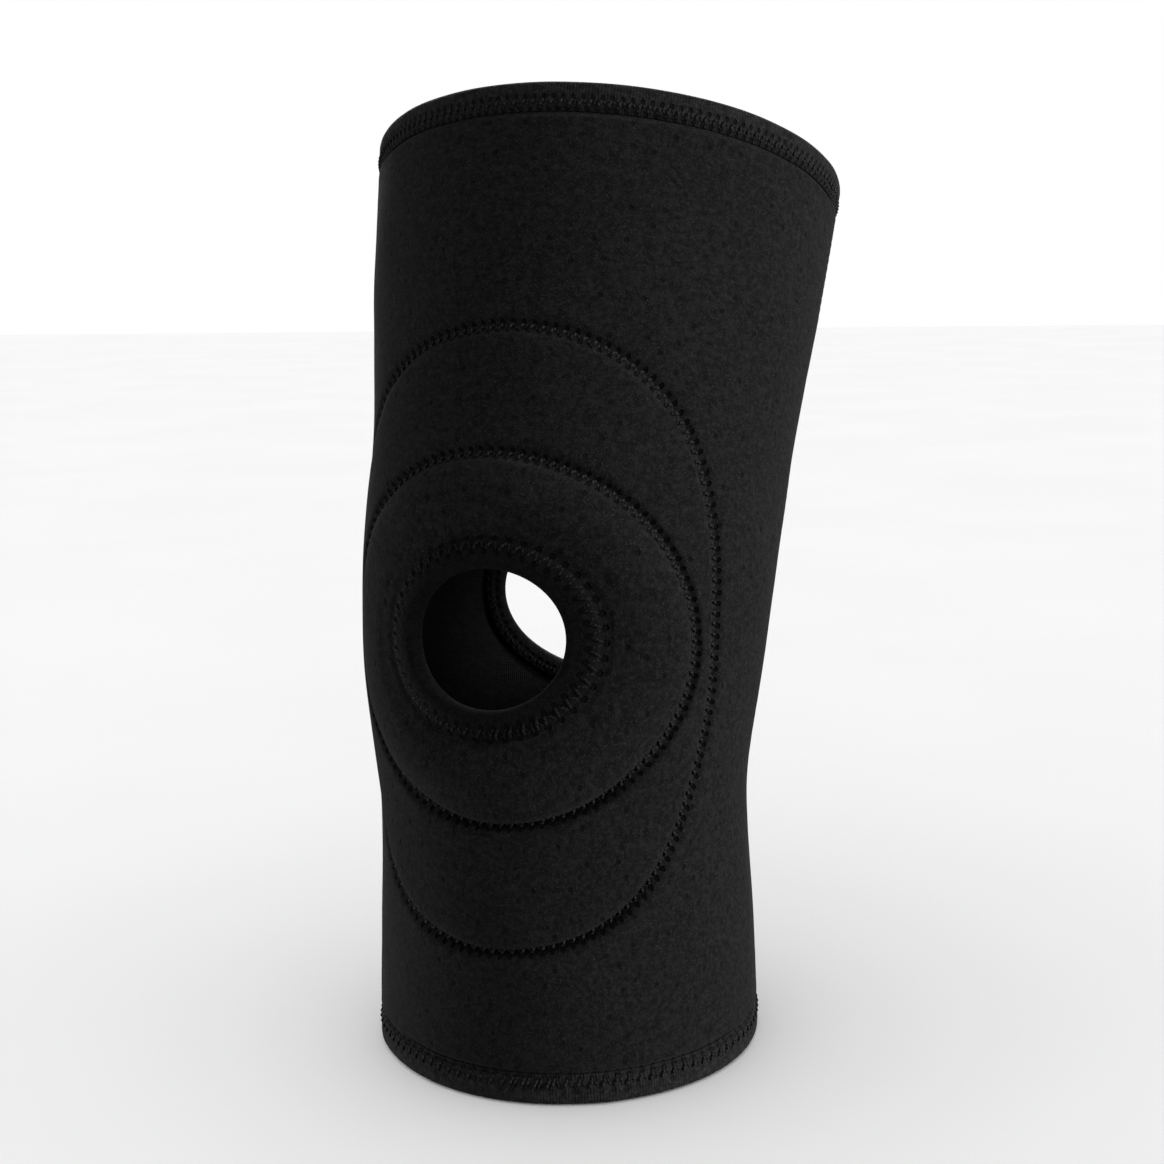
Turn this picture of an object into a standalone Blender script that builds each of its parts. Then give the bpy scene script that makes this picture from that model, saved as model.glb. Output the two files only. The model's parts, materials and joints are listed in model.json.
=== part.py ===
"""A pull-on neoprene knee brace with an open patella, as it stands on a slightly bent knee.

The brace is a sleeve swept along the middle of the leg. It stands on its bottom hem with the patella
facing -Y. Every piece is laid out on the sleeve's outer face by two coordinates: the angle round the
leg, from the front towards +X, and the distance along the leg from the bottom hem.
"""

import math

import bpy
import numpy as np

# The sleeve, in metres and radians
LENGTH = 0.283  # hem to hem, along the middle of the leg
WIDTHS = (  # share of the length, width over the outer face
    (0.00, 0.1240),
    (0.15, 0.1205),
    (0.30, 0.1180),
    (0.42, 0.1260),
    (0.52, 0.1305),
    (0.66, 0.1350),
    (0.84, 0.1455),
    (1.00, 0.1530),
)
DEPTH_RATIO = 0.976  # depth front to back over width
THIGH_LEAN = math.radians(19)  # how far the thigh leans back from the calf
BEND_START, BEND_END = 0.21, 0.65  # shares of the length between which the leg bends
PATELLA_RISE = 0.0025  # how far the kneecap pushes the front out
PATELLA_REACH = 0.062  # how far from its middle that push is felt

# Layers, from the outer face inwards
SLEEVE_THICK = 0.0032
SUPPORT_THICK = 0.0015
BUTTRESS_THICK = 0.0030  # in the middle of the ring
BUTTRESS_EDGE_THICK = 0.0008
COVER_THICK = 0.0007
TAPE_THICK = 0.0008
THREAD_THICK = 0.0006
CLEARANCE = 0.0004  # between layers that touch on the real brace
PAD_GAP = 0.0006  # between the pads' layers, which are curved two ways
CUT_GAP = 0.0008  # between the zones of the panel

# Outlines round the patella, as half sizes round the leg and along it
KNEE = 0.1283  # height of the patella's middle and of the knee's axis along the leg
PATELLA_HOLE = (0.0245, 0.0165)
BUTTRESS = (0.0645, 0.0460)
SUPPORT = (0.0720, 0.0816)
SUPPORT_TILT = math.radians(5.5)  # the oval pad's top leans towards -X
FRONT_STRETCH = 1.25  # the front of a bent knee is this much longer than its middle

# The opening at the back of the knee
POPLITEAL_HOLE = (0.0485, 0.0360)
POPLITEAL = 0.1470  # height of its middle

# Tapes and stitching
HEM_DEPTH = 0.0070
HOLE_TAPE_DEPTH = 0.0042
BACK_TAPE_DEPTH = 0.0050
ROUNDING = 0.0012
STITCH_WIDTH = 0.0030
HEM_STITCH_WIDTH = 0.0040
SEAM_STITCH_WIDTH = 0.0050
SEAM_TAPE_WIDTH = 0.0200
SEAM_GAP = 0.0006  # between a tape and the stitches beside it
PAD_SETBACK = 0.0008  # from the edge of the patella's opening to the pads round it
CUTTER_REACH = 0.015

# Where the zones of the panel meet: half the height of the zone that bends
ZONE_FRONT = 0.0120
ZONE_SIDE = 0.0040
ZONE_BACK = 0.0620

# Fineness of the meshes
AROUND = 48  # columns round the leg
ROUND_HOLE = 40  # columns round an opening
ROWS = 10  # along each half of the sleeve
KNEE_ROWS = 10
SUPPORT_ROWS = 6
BUTTRESS_ROWS = 5
SEAM_ROWS = 5
SEAM_COLUMNS = 3
CENTRE_STEPS = 400

# Colour and roughness
KNIT = ((0.012, 0.012, 0.013), 0.90)
TAPE = ((0.010, 0.010, 0.012), 0.70)
THREAD = ((0.014, 0.014, 0.015), 0.55)
FOAM = ((0.060, 0.060, 0.062), 0.95)

# Worked out from the above
EDGE = TAPE_THICK + CLEARANCE  # from the fold of a tape to the edge that it covers
SUPPORT_OUT = -(SLEEVE_THICK + PAD_GAP)
BUTTRESS_OUT = SUPPORT_OUT - SUPPORT_THICK - PAD_GAP
PATELLA_STACK = COVER_THICK - BUTTRESS_OUT  # thickness of all that the patella's tape is folded over
PATELLA_STITCH_END = HOLE_TAPE_DEPTH + SEAM_GAP + HEM_STITCH_WIDTH
BACK_STACK = SLEEVE_THICK + PAD_GAP
THREAD_OUT = CLEARANCE + THREAD_THICK


def smooth(t):
    t = np.clip(t, 0.0, 1.0)
    return t * t * (3 - 2 * t)


def lean_at(along):
    """The angle by which the leg leans back at this distance along it."""
    share = np.asarray(along) / LENGTH
    return THIGH_LEAN * smooth((share - BEND_START) / (BEND_END - BEND_START))


def centre_line():
    """Distances along the leg, and the Y and Z of the leg's middle there."""
    along = np.linspace(0.0, LENGTH, CENTRE_STEPS + 1)
    step = along[1]
    lean = lean_at(along[:-1] + step / 2)
    y = np.concatenate([[0.0], np.cumsum(np.sin(lean) * step)])
    z = np.concatenate([[0.0], np.cumsum(np.cos(lean) * step)])
    return along, y, z


def half_width_at(along):
    """Half the sleeve's width, on a smooth curve through WIDTHS."""
    shares, widths = np.array(WIDTHS).T
    slopes = np.gradient(widths, shares)
    share = np.clip(np.asarray(along) / LENGTH, 0.0, 1.0)
    i = np.clip(np.searchsorted(shares, share, side="right") - 1, 0, len(shares) - 2)
    span = shares[i + 1] - shares[i]
    t = (share - shares[i]) / span
    start = (2 * t**3 - 3 * t**2 + 1) * widths[i] + (t**3 - 2 * t**2 + t) * span * slopes[i]
    end = (3 * t**2 - 2 * t**3) * widths[i + 1] + (t**3 - t**2) * span * slopes[i + 1]
    return (start + end) / 2


CENTRE_ALONG, CENTRE_Y, CENTRE_Z = centre_line()


def place(angle, along, out, middle=0.0):
    """The point at this angle and distance along the leg, this far out from the sleeve's outer face."""
    angle, along, out = np.broadcast_arrays(angle, along, out)
    lean = lean_at(along)
    half = half_width_at(along)
    from_front = (angle + math.pi) % (2 * math.pi) - math.pi
    from_patella = np.hypot(from_front * half, (along - KNEE) * FRONT_STRETCH)
    rise = PATELLA_RISE * (1 - smooth(from_patella / PATELLA_REACH))
    side = (half + out) * np.sin(angle)
    back = -(half * DEPTH_RATIO + out + rise) * np.cos(angle)
    y = np.interp(along, CENTRE_ALONG, CENTRE_Y) + back * np.cos(lean)
    z = np.interp(along, CENTRE_ALONG, CENTRE_Z) - back * np.sin(lean)
    return np.stack([side, y - middle, z], axis=-1)


def middle_of_box():
    """The Y halfway between the bottom hem's front and the top hem's back, which becomes Y = 0."""
    proud = CLEARANCE + TAPE_THICK
    front = place(0.0, ROUNDING, proud)[1]
    back = place(math.pi, LENGTH - ROUNDING, proud)[1]
    return (front + back) / 2


MIDDLE = middle_of_box()


def on_leg(angle, along, out):
    return place(angle, along, out, MIDDLE)


def on_outline(turn, half_sizes, grow, tilt=0.0):
    """The angle and the distance along the leg of a point on an oval round the patella."""
    across = (half_sizes[0] + grow) * np.sin(turn)
    up = (half_sizes[1] + grow / FRONT_STRETCH) * np.cos(turn)
    turned_across = across * math.cos(tilt) - up * math.sin(tilt)
    turned_up = across * math.sin(tilt) + up * math.cos(tilt)
    along = KNEE + turned_up
    return turned_across / half_width_at(KNEE), along


def on_back_outline(turn, grow):
    """The same for the opening at the back of the knee."""
    across = (POPLITEAL_HOLE[0] + grow) * np.sin(turn)
    up = (POPLITEAL_HOLE[1] + grow) * np.cos(turn)
    return math.pi + across / half_width_at(POPLITEAL), POPLITEAL + up


def zone_half_height(angle):
    """Half the height of the zone that bends, at this angle. It is a wedge that opens to the back."""
    forward = np.cos(angle)
    front = (ZONE_FRONT - ZONE_SIDE) * np.maximum(forward, 0)
    back = (ZONE_BACK - ZONE_SIDE) * np.maximum(-forward, 0)
    return ZONE_SIDE + front + back


def material(name, colour, roughness):
    made = bpy.data.materials.new(name)
    made.use_nodes = True
    shader = made.node_tree.nodes["Principled BSDF"]
    shader.inputs["Base Color"].default_value = (*colour, 1.0)
    shader.inputs["Roughness"].default_value = roughness
    shader.inputs["Metallic"].default_value = 0.0
    made.diffuse_color = (*colour, 1.0)
    return made


def add_object(name, points, faces, look, parent, collection):
    mesh = bpy.data.meshes.new(name)
    mesh.from_pydata([tuple(p) for p in points], [], faces)
    mesh.shade_smooth()
    made = bpy.data.objects.new(name, mesh)
    collection.objects.link(made)
    if look:
        mesh.materials.append(look)
    if parent:
        made.parent = parent
        made.matrix_parent_inverse = parent.matrix_world.inverted()
    return made


def grid_faces(rows, columns, closed_rows=False, closed_columns=False):
    """Quads over a grid of points, facing out where columns run towards +X at the front and rows up."""
    last_row = rows if closed_rows else rows - 1
    last_column = columns if closed_columns else columns - 1
    faces = []
    for r in range(last_row):
        for c in range(last_column):
            here = r * columns
            above = (r + 1) % rows * columns
            beside = (c + 1) % columns
            faces.append((here + c, here + beside, above + beside, above + c))
    return faces


def add_shell(name, surface, thick, look, parent, collection, closed_columns=True):
    """A layer of cloth or foam: a surface laid on the leg, thickened inwards."""
    rows, columns = surface.shape[:2]
    faces = grid_faces(rows, columns, closed_columns=closed_columns)
    made = add_object(name, surface.reshape(-1, 3), faces, look, parent, collection)
    thicken = made.modifiers.new("thickness", "SOLIDIFY")
    thicken.thickness = thick
    thicken.offset = -1
    thicken.use_even_offset = True
    return made


def add_ring(name, lay, section, columns, look, parent, collection):
    """A tape or a cutter: a closed section of (along, out) points swept round a closed path."""
    turns = np.arange(columns) * 2 * math.pi / columns
    points = np.array([lay(turns, along, out) for along, out in section])
    faces = grid_faces(len(section), columns, closed_rows=True, closed_columns=True)
    return add_object(name, points.reshape(-1, 3), faces, look, parent, collection)


def folded_section(depth, stack):
    """A tape folded over an edge of a stack this thick, as (distance from the fold, out) points."""
    outer = CLEARANCE + TAPE_THICK
    inner = -stack - outer
    return [
        (0.0, outer - ROUNDING),
        (ROUNDING, outer),
        (depth, outer),
        (depth, CLEARANCE),
        (TAPE_THICK, CLEARANCE),
        (TAPE_THICK, -stack - CLEARANCE),
        (depth, -stack - CLEARANCE),
        (depth, inner),
        (ROUNDING, inner),
        (0.0, inner + ROUNDING),
    ]


def cut(target, cutter):
    boolean = target.modifiers.new("cut_" + cutter.name, "BOOLEAN")
    boolean.operation = "DIFFERENCE"
    boolean.solver = "EXACT"
    boolean.object = cutter


def add_cutter(name, outline, collection):
    """A plug that passes through every layer, with the outline of an opening."""
    turns = np.arange(ROUND_HOLE) * 2 * math.pi / ROUND_HOLE
    inner = on_leg(*outline(turns), -CUTTER_REACH)
    outer = on_leg(*outline(turns), CUTTER_REACH)
    ring = list(range(ROUND_HOLE))
    faces = [(ROUND_HOLE + i, ROUND_HOLE + (i + 1) % ROUND_HOLE, (i + 1) % ROUND_HOLE, i) for i in ring]
    faces.append(tuple(ring))
    faces.append(tuple(ROUND_HOLE + i for i in reversed(ring)))
    made = add_object(name, np.concatenate([inner, outer]), faces, None, None, collection)
    made.hide_render = True
    made.display_type = "WIRE"
    return made


def between(low, high, steps, angles, out):
    """A surface between two heights that may change round the leg."""
    shares = np.linspace(0.0, 1.0, steps + 1)[:, None]
    along = low + (high - low) * shares
    return on_leg(np.broadcast_to(angles, along.shape), along, out)


def part_way(start, end, turns, share):
    """The points at this share of the way between two outlines round an opening."""
    (angle_in, along_in), (angle_out, along_out) = start(turns), end(turns)
    return angle_in + (angle_out - angle_in) * share, along_in + (along_out - along_in) * share


def round_the_hole(start, end, steps, out):
    """A surface between two outlines round an opening."""
    turns = np.arange(ROUND_HOLE) * 2 * math.pi / ROUND_HOLE
    shares = np.linspace(0.0, 1.0, steps + 1)[:, None]
    return on_leg(*part_way(start, end, turns, shares), out)


def patella_outline(grow, half_sizes=PATELLA_HOLE, tilt=0.0):
    return lambda turns: on_outline(turns, half_sizes, grow, tilt)


def buttress_outline(grow):
    return patella_outline(grow, BUTTRESS)


def support_outline(grow):
    return patella_outline(grow, SUPPORT, SUPPORT_TILT)


def popliteal_outline(grow):
    return lambda turns: on_back_outline(turns, grow)


def add_sleeve_tubes(thigh, calf, parts):
    """The thigh and calf zones of the panel."""
    angles = np.arange(AROUND) * 2 * math.pi / AROUND
    half = zone_half_height(angles) + CUT_GAP / 2
    upper = between(KNEE + half, LENGTH - EDGE, ROWS, angles, 0.0)
    lower = between(EDGE, KNEE - half, ROWS, angles, 0.0)
    return [
        add_shell("thigh_sleeve", upper, SLEEVE_THICK, material("thigh_sleeve", *KNIT), thigh, parts),
        add_shell("calf_sleeve", lower, SLEEVE_THICK, material("calf_sleeve", *KNIT), calf, parts),
    ]


def add_knee_zone(name, side, parent, parts):
    """The panel where it bends, from the patella's opening round one side to the seam at the back."""
    seam_gap = CUT_GAP / 2 / half_width_at(KNEE)
    angles = np.linspace(seam_gap, math.pi - seam_gap, AROUND // 2 + 1)
    if side < 0:
        angles = -angles[::-1]
    half = zone_half_height(angles) - CUT_GAP / 2
    surface = between(KNEE - half, KNEE + half, KNEE_ROWS, angles, 0.0)
    look = material(name, *KNIT)
    return add_shell(name, surface, SLEEVE_THICK, look, parent, parts, closed_columns=False)


def foam_thickness(share):
    """The foam's thickness at this share of the way from the ring's inner edge to its outer one."""
    return BUTTRESS_EDGE_THICK + (BUTTRESS_THICK - BUTTRESS_EDGE_THICK) * (1 - (2 * share - 1) ** 4)


def add_support_pad(parent, parts):
    start = patella_outline(EDGE + PAD_SETBACK)
    oval = support_outline(0.0)
    surface = round_the_hole(start, oval, SUPPORT_ROWS, SUPPORT_OUT)
    add_shell("support_pad", surface, SUPPORT_THICK, material("support_pad", *KNIT), parent, parts)


def add_buttress_ring(start, end, parent, parts):
    """The foam ring, flat against the support pad and swelling inwards."""
    shares = np.linspace(0.0, 1.0, BUTTRESS_ROWS + 1)
    section = [(share, BUTTRESS_OUT - foam_thickness(share)) for share in shares]
    section += [(share, BUTTRESS_OUT) for share in reversed(shares)]

    def lay(turns, share, out):
        return on_leg(*part_way(start, end, turns, share), out)

    look = material("buttress_ring", *FOAM)
    add_ring("buttress_ring", lay, section[::-1], ROUND_HOLE, look, parent, parts)


def add_buttress_cover(start, end, parent, parts):
    """The lining over the foam ring. It runs on from the ring's edges to both rows of stitches."""
    shares = np.linspace(0.0, 1.0, BUTTRESS_ROWS + 1)[:, None]
    turns = np.arange(ROUND_HOLE) * 2 * math.pi / ROUND_HOLE
    under_foam = BUTTRESS_OUT - foam_thickness(shares) - PAD_GAP
    over_foam = on_leg(*part_way(start, end, turns, shares), under_foam)
    under_tape = patella_outline(EDGE + PAD_SETBACK), patella_outline(HOLE_TAPE_DEPTH + SEAM_GAP)
    rim = [on_leg(*outline(turns), BUTTRESS_OUT) for outline in under_tape]
    hem = on_leg(*buttress_outline(STITCH_WIDTH / 2)(turns), BUTTRESS_OUT)
    surface = np.concatenate([rim, over_foam, hem[None]])
    add_shell("buttress_cover", surface, COVER_THICK, material("buttress_cover", *KNIT), parent, parts)


def add_pads(parent, parts):
    """The layers sewn inside the sleeve round the patella."""
    foam_start = patella_outline(PATELLA_STITCH_END + PAD_SETBACK)
    foam_end = buttress_outline(-STITCH_WIDTH / 2)
    add_support_pad(parent, parts)
    add_buttress_ring(foam_start, foam_end, parent, parts)
    add_buttress_cover(foam_start, foam_end, parent, parts)


def add_hem(name, at_top, parent, parts):
    """A tape folded over a hem."""
    section = folded_section(HEM_DEPTH, SLEEVE_THICK)
    if at_top:
        section = [(LENGTH - along, out) for along, out in reversed(section)]
    add_ring(name, on_leg, section, AROUND, material(name, *TAPE), parent, parts)


def add_hole_tape(name, outline, depth, stack, parent, parts):
    """A tape folded over the edge of an opening."""

    def lay(turns, grow, out):
        return on_leg(*outline(grow)(turns), out)

    section = folded_section(depth, stack)
    add_ring(name, lay, section, ROUND_HOLE, material(name, *TAPE), parent, parts)


def add_stitching(name, surface, parent, parts, closed_columns=True):
    """A row of stitches, as a thin band on the outer face."""
    add_shell(name, surface, THREAD_THICK, material(name, *THREAD), parent, parts, closed_columns)


def add_hem_stitching(name, low, parent, parts):
    angles = np.arange(AROUND) * 2 * math.pi / AROUND
    band = between(low, low + HEM_STITCH_WIDTH + 0 * angles, 1, angles, THREAD_OUT)
    add_stitching(name, band, parent, parts)


def seam_strip(low, high, width, out):
    """A strip up the middle of the back."""
    half = width / 2 / half_width_at((low + high) / 2)
    angles = np.linspace(math.pi - half, math.pi + half, SEAM_COLUMNS)
    return between(low + 0 * angles, high, SEAM_ROWS, angles, out)


def add_back_seam(thigh, calf, parts):
    """The seam that closes the panel: stitches outside, and a tape inside."""
    hem_end = HEM_DEPTH + SEAM_GAP
    stitch_end = hem_end + HEM_STITCH_WIDTH + SEAM_GAP
    hole_top = POPLITEAL + POPLITEAL_HOLE[1] + BACK_TAPE_DEPTH + SEAM_GAP
    hole_bottom = POPLITEAL - POPLITEAL_HOLE[1] - BACK_TAPE_DEPTH - SEAM_GAP
    row_top = hole_top + STITCH_WIDTH + SEAM_GAP
    row_bottom = hole_bottom - STITCH_WIDTH - SEAM_GAP
    upper = seam_strip(row_top, LENGTH - stitch_end, SEAM_STITCH_WIDTH, THREAD_OUT)
    lower = seam_strip(stitch_end, row_bottom, SEAM_STITCH_WIDTH, THREAD_OUT)
    add_stitching("upper_seam_stitching", upper, thigh, parts, closed_columns=False)
    add_stitching("lower_seam_stitching", lower, calf, parts, closed_columns=False)
    inside = -(SLEEVE_THICK + CLEARANCE)
    ends = (
        ("upper_seam_tape", hole_top, LENGTH - hem_end, thigh),
        ("lower_seam_tape", hem_end, hole_bottom, calf),
    )
    for name, low, high, parent in ends:
        strip = seam_strip(low, high, SEAM_TAPE_WIDTH, inside)
        add_shell(name, strip, TAPE_THICK, material(name, *TAPE), parent, parts, closed_columns=False)


def add_axis(name, location, collection):
    axis = bpy.data.objects.new(name, None)
    axis.location = location
    collection.objects.link(axis)
    bpy.context.view_layer.update()
    return axis


def build():
    for old in list(bpy.data.objects):
        bpy.data.objects.remove(old, do_unlink=True)
    parts = bpy.data.collections.new("knee_brace")
    cutters = bpy.data.collections.new("cutters")
    bpy.context.scene.collection.children.link(parts)
    bpy.context.scene.collection.children.link(cutters)

    knee = (
        0.0,
        float(np.interp(KNEE, CENTRE_ALONG, CENTRE_Y)) - MIDDLE,
        float(np.interp(KNEE, CENTRE_ALONG, CENTRE_Z)),
    )
    calf = add_axis("calf_base", (0.0, -MIDDLE, 0.0), parts)
    thigh = add_axis("knee_axis", knee, parts)

    panel = add_sleeve_tubes(thigh, calf, parts)
    panel.append(add_knee_zone("knee_sleeve_right", 1, calf, parts))
    panel.append(add_knee_zone("knee_sleeve_left", -1, calf, parts))
    patella_plug = add_cutter("patella_cutter", patella_outline(EDGE), cutters)
    popliteal_plug = add_cutter("popliteal_cutter", popliteal_outline(EDGE), cutters)
    for zone in panel:
        cut(zone, patella_plug)
    for zone in panel[2:]:
        cut(zone, popliteal_plug)

    add_pads(calf, parts)
    add_hem("top_binding", True, thigh, parts)
    add_hem("bottom_binding", False, calf, parts)
    hem_end = HEM_DEPTH + SEAM_GAP
    add_hem_stitching("top_hem_stitching", LENGTH - hem_end - HEM_STITCH_WIDTH, thigh, parts)
    add_hem_stitching("bottom_hem_stitching", hem_end, calf, parts)
    add_hole_tape("patella_binding", patella_outline, HOLE_TAPE_DEPTH, PATELLA_STACK, calf, parts)
    add_hole_tape("popliteal_binding", popliteal_outline, BACK_TAPE_DEPTH, BACK_STACK, calf, parts)

    rows = (
        ("patella_stitching", patella_outline, HOLE_TAPE_DEPTH + SEAM_GAP, HEM_STITCH_WIDTH),
        ("popliteal_stitching", popliteal_outline, BACK_TAPE_DEPTH + SEAM_GAP, STITCH_WIDTH),
        ("buttress_stitching", buttress_outline, -STITCH_WIDTH / 2, STITCH_WIDTH),
        ("support_pad_stitching", support_outline, -STITCH_WIDTH / 2, STITCH_WIDTH),
    )
    for name, outline, grow, width in rows:
        band = round_the_hole(outline(grow), outline(grow + width), 1, THREAD_OUT)
        add_stitching(name, band, calf, parts)
    add_back_seam(thigh, calf, parts)


build()
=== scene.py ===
"""The looks of the knee brace: knit, tapes, pads and stitches, laid on the leg's shape and bent at the knee.

Every piece is laid out as its CAD solid is, by the angle round the leg, from the front towards +X, and the
distance along it from the bottom hem. "Out" is how far a point stands from the CAD sleeve's outer face.
"""

import json
import math

import bpy
import numpy as np
from mathutils import Matrix, Vector

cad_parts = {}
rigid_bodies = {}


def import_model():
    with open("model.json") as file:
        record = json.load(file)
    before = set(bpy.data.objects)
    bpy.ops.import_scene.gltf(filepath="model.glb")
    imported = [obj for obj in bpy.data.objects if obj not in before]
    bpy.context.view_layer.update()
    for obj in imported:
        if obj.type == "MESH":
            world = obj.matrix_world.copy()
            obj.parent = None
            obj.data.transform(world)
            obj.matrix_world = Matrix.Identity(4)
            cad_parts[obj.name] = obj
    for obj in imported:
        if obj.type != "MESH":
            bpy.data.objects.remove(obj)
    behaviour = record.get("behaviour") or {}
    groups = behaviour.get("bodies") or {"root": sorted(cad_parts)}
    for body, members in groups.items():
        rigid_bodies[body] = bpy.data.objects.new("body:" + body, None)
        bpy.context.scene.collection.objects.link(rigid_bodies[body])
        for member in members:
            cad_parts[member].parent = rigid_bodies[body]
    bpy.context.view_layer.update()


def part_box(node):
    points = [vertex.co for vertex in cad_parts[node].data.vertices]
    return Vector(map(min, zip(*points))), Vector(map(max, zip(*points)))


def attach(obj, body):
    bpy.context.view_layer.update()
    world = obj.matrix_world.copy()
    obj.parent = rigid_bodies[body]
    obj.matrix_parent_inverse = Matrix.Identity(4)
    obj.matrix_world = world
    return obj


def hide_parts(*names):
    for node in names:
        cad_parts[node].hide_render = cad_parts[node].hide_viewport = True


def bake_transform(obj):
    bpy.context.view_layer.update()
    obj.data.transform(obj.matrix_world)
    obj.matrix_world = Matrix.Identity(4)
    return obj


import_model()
LOW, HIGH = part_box("bottom_binding")

# The leg's shape, as the CAD model has it, in metres and radians
LENGTH = 0.283
WIDTHS = (
    (0.00, 0.1240),
    (0.15, 0.1205),
    (0.30, 0.1180),
    (0.42, 0.1260),
    (0.52, 0.1305),
    (0.66, 0.1350),
    (0.84, 0.1455),
    (1.00, 0.1530),
)
DEPTH_RATIO = 0.976
THIGH_LEAN = math.radians(19)
BEND_START, BEND_END = 0.21, 0.65
PATELLA_RISE = 0.0025
PATELLA_REACH = 0.062
FRONT_STRETCH = 1.25
MIDDLE = -(LOW.y + HIGH.y) / 2
CENTRE_STEPS = 400

# The layers' thickness, and the knee and the openings as the CAD model has them
SLEEVE_THICK = 0.0032
SUPPORT_THICK = 0.0014
COVER_THICK = 0.0007
TAPE_THICK = 0.0008
KNEE = 0.1283
PATELLA_HOLE = (0.0245, 0.0165)
POPLITEAL_HOLE = (0.0485, 0.0360)
POPLITEAL = 0.1470
EDGE = 0.0024  # from the fold of a tape to the edge that it covers, and to the start of its flat sides

# The pads' outlines: half the width, half the height, the tilt, and the oval's power (2 makes an ellipse)
BUTTRESS = (0.0640, 0.0452, math.radians(-3), 1.9)
SUPPORT = (0.0722, 0.0820, math.radians(7.5), 2.25)
LOWER_EDGES = ((BUTTRESS, 0.30, 0.0008), (SUPPORT, 0.10, 0.0007))  # outline, turn from its bottom, sag

# How the pads push the knit out, and how far from their outlines
SUPPORT_SWELL, SUPPORT_REACH = 0.0014, 0.0028
BUTTRESS_SWELL, BUTTRESS_REACH = 0.0042, 0.0055
LEFT_SHARE, RIGHT_SHARE = 0.15, 0.62  # share of the ring's swell that is left at its two sides
RING_SLOPE = 0.017  # how far from the patella's stitches the ring is as thick as it gets
COVER_DEPTH = -0.0092  # where the lining over the foam lies, at the middle of the ring
LAYER_GAP = 0.0001

# How the tapes press the knit in
RIM_DROP = 0.0017  # how far the patella's edge turns in, below the valley round it
RIM_LEAN = 0.75  # how much more it turns in on the right, and less on the left
VALLEY, VALLEY_REACH = 0.0010, 0.0042
TAPE_PINCH, PINCH_START, PINCH_SLOPE = 0.0009, 0.0006, 0.0016
RIM_SQUEEZE, SQUEEZE_REACH = 0.0011, 0.008
RIM_SPREAD = 1.25  # how much wider the rows round the patella are at its sides

# How deep the stitches sink into the panel, and how far from their line
SUPPORT_GROOVE = (0.0012, 0.0021)
BUTTRESS_GROOVE = (0.0015, 0.0022)
PATELLA_GROOVE = (0.0009, 0.0016)
POPLITEAL_GROOVE = (0.0008, 0.0014)
TOP_HEM_GROOVE = (0.0010, 0.0013)
BOTTOM_HEM_GROOVE = (0.0018, 0.0013)
SEAM_GROOVE = (0.0009, 0.0030)
INNER_SHARE = 0.35  # share of that depth by which the panel's inner face is pulled out
CREASE, CREASE_START, CREASE_REACH = 0.0016, 0.0002, 0.0016  # the folds under the pads' lower edges
SAG_REACH = 0.0022
LOWER_EDGE_TURN = 0.55  # half the turn over which an outline's bottom runs

# Rows of stitches: distance of the pair of rows from its edge or outline, and half the distance between them
TOP_HEM_ROWS = (0.0068, 0.0016)
BOTTOM_HEM_ROWS = (0.0066, 0.0020)
SEAM_TAPE_WIDTH = 0.0200
PATELLA_ROWS = (0.0068, 0.0020)
POPLITEAL_ROWS = (0.0062, 0.0016)
CONTOUR_ROWS = (0.0, 0.0015)
SEAM_ROWS = (0.0, 0.0021)
TAPE_EDGE = 0.0006  # from the outer row to the tape's edge
TAPE_DEPTH = 0.0092  # from a hem to its tape's edge
PATELLA_STITCH_END = PATELLA_ROWS[0] + PATELLA_ROWS[1] + TAPE_EDGE
POPLITEAL_STITCH_END = POPLITEAL_ROWS[0] + POPLITEAL_ROWS[1] + TAPE_EDGE
CONTOUR_PITCH = 0.0032
PATELLA_PITCH = 0.0041
HEM_PITCH = 0.0029
BOTTOM_HEM_PITCH = 0.0038
POPLITEAL_PITCH = 0.0032
SEAM_PITCH = 0.0026

# The grid of the panel, in columns from the top middle of the front round to its bottom middle
COLUMNS = (58, 34, 104, 36, 48)  # top hem, upper seam, popliteal opening, lower seam, bottom hem
HALF_COLUMNS = sum(COLUMNS)
# Its rows from each outline to the next, and how much closer together they are at the start and the end
OUTER_ROWS = ((20, 0, 0), (22, 0.5, 0.7), (26, 0.75, 0.75), (34, 0.8, 0.0), (22, 0, 0))
INNER_ROWS = ((5, 0, 0), (8, 0, 0.3), (9, 0.4, 0.4), (14, 0.3, 0.0), (8, 0, 0))
INSET = 0.0125  # width of the border with its own rows, along the hems and the popliteal opening
SEAM_INSET = 0.0080
BUTT_GAP = 0.0001  # where the panel's two ends meet at the back
RING_END = 0.0110  # from the patella's edge to the end of the rows round its stitches

# Fineness of the other pieces
PAD_COLUMNS = 240
HEM_COLUMNS = 480
HOLE_COLUMNS = 300
TAPE_ROWS = 16
FOLD_ROWS = 9
THREAD_RADIUS = 0.00045
THREAD_SIDES = 8
THREAD_STEPS = 12
THREAD_DIP = 0.0007  # how far the thread sinks at each needle hole
OUTER_LIFT, CONTOUR_LIFT, INNER_LIFT, OVERLAP_LIFT = 0.0004, 0.0007, 0.0002, 0.0009
SEAM_THREAD = 0.0003  # its radius, and how far it is lifted
NEEDLE_HOLE = 0.0010  # its radius
OVERLAP = 4  # stitches that are sewn twice where a row ends
SUNK_LEG = -0.3  # height of every other leg of the zigzag, which is pulled tight, over that of the rest

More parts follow.
